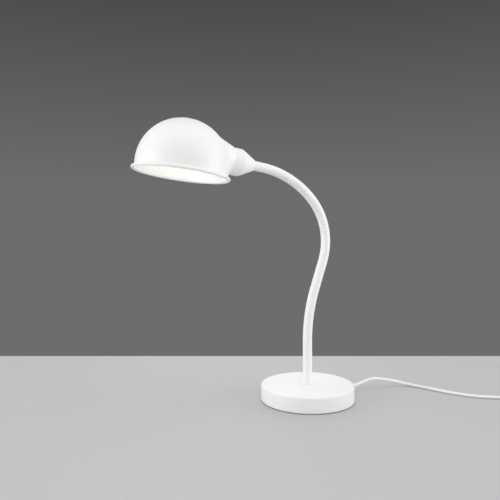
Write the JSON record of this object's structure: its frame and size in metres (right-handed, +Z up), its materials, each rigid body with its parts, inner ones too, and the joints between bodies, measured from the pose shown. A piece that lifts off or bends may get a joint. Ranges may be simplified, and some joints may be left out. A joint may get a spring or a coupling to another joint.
{
  "type": "desk lamp",
  "caption": "Desk lamp with a weighted round base, a flexible sleeved neck, a dome shade on a side-mounted lampholder, and a mains cord with an inline rocker switch.",
  "frame": {"origin": "middle of the base's foot, on the table", "axes": "+Z up, the head reaches out towards -X, the cord leaves the base towards +X"},
  "size_m": [0.6948, 0.3466, 0.4377],
  "materials": {
    "white_paint": "satin white powder coat",
    "white_sleeve": "smooth soft white sleeve",
    "white_cord": "smooth white cord sheath",
    "white_plastic": "fine-textured white moulding",
    "holder_plastic": "glossy heat-resistant moulding",
    "opal_plastic": "opal, lit",
    "grey_rubber": "matt foam pad",
    "steel": "zinc-plated",
    "iron": "rough casting",
    "brass": "bright",
    "nickel": "nickel-plated",
    "wire_insulation": "brown single wires"
  },
  "bodies": {
    "base": {"base_cover": "white_paint", "foot_pad": "grey_rubber", "base_plate": "steel", "base_weight": "iron", "base_screws": "steel", "neck_washer": "steel", "neck_nut": "steel", "lower_fitting": "steel", "terminal_block": "white_plastic", "base_wires": "wire_insulation", "cord_entry": "white_cord", "cord_run": "white_cord", "cord_coil": "white_cord", "neck_lead": "white_cord", "strain_relief": "white_plastic", "cord_clamp": "white_plastic", "clamp_screws": "steel", "switch_base": "white_plastic", "switch_cover": "white_plastic", "switch_contacts": "brass", "switch_screws": "steel", "coil_tie": "white_plastic", "plug_body": "white_plastic", "plug_pins": "nickel", "pin_sleeves": "white_plastic", "neck_sleeve_1": "white_sleeve", "neck_core_1": "steel"},
    "neck_2": {"neck_core_2": "steel", "neck_sleeve_2": "white_sleeve"},
    "neck_3": {"neck_core_3": "steel", "neck_sleeve_3": "white_sleeve"},
    "neck_4": {"neck_core_4": "steel", "neck_sleeve_4": "white_sleeve"},
    "neck_5": {"neck_core_5": "steel", "neck_sleeve_5": "white_sleeve"},
    "neck_6": {"neck_core_6": "steel", "neck_sleeve_6": "white_sleeve"},
    "neck_7": {"neck_core_7": "steel", "neck_sleeve_7": "white_sleeve"},
    "neck_8": {"neck_core_8": "steel", "neck_sleeve_8": "white_sleeve"},
    "head": {"neck_core_9": "steel", "neck_sleeve_9": "white_sleeve", "upper_fitting": "steel", "holder_nut": "steel", "holder_cap": "white_paint", "shade": "white_paint", "holder_body": "holder_plastic", "holder_insulator": "holder_plastic", "screw_shell": "nickel", "centre_contact": "brass", "shade_ring": "holder_plastic", "lamp_tip": "nickel", "lamp_cap": "nickel", "lamp_housing": "white_plastic", "lamp_globe": "opal_plastic"},
    "rocker": {"switch_rocker": "white_plastic"}
  },
  "joints": [
    {"name": "neck_sway_1", "type": "hinge", "parent": "base", "child": "neck_2", "pos_m": [0, 0, 0.07298], "axis": [-1, 0, 0], "range_deg": [-40, 40], "deforming": ["neck_lead"]},
    {"name": "neck_bend_1", "type": "hinge", "parent": "neck_2", "child": "neck_3", "pos_m": [0.00128, 0, 0.12093], "axis": [0, -1, 0], "range_deg": [-30, 22], "deforming": ["neck_lead"]},
    {"name": "neck_sway_2", "type": "hinge", "parent": "neck_3", "child": "neck_4", "pos_m": [0.01059, 0, 0.16793], "axis": [0.9581, 0, -0.2863], "range_deg": [-40, 40], "deforming": ["neck_lead"]},
    {"name": "neck_bend_2", "type": "hinge", "parent": "neck_4", "child": "neck_5", "pos_m": [0.02619, 0, 0.2133], "axis": [0, -1, 0], "range_deg": [-40, 30], "deforming": ["neck_lead"]},
    {"name": "neck_sway_3", "type": "hinge", "parent": "neck_5", "child": "neck_6", "pos_m": [0.03494, 0, 0.2601], "axis": [-0.999, 0, -0.0451], "range_deg": [-40, 40], "deforming": ["neck_lead"]},
    {"name": "neck_bend_3", "type": "hinge", "parent": "neck_6", "child": "neck_7", "pos_m": [0.02158, 0, 0.30571], "axis": [0, -1, 0], "range_deg": [-40, 13], "deforming": ["neck_lead"]},
    {"name": "neck_sway_4", "type": "hinge", "parent": "neck_7", "child": "neck_8", "pos_m": [-0.01053, 0, 0.34098], "axis": [0.6136, 0, 0.7896], "range_deg": [-40, 40], "deforming": ["neck_lead"]},
    {"name": "neck_bend_4", "type": "hinge", "parent": "neck_8", "child": "head", "pos_m": [-0.05235, 0, 0.3641], "axis": [0, -1, 0], "range_deg": [-40, 22], "deforming": ["neck_lead"]},
    {"name": "switch_rocker_tip", "type": "hinge", "parent": "base", "child": "rocker", "pos_m": [0.33783, -0.16792, 0.0115], "axis": [-0.4472, -0.8944, 0], "range_deg": [-16, 0]}
  ]
}
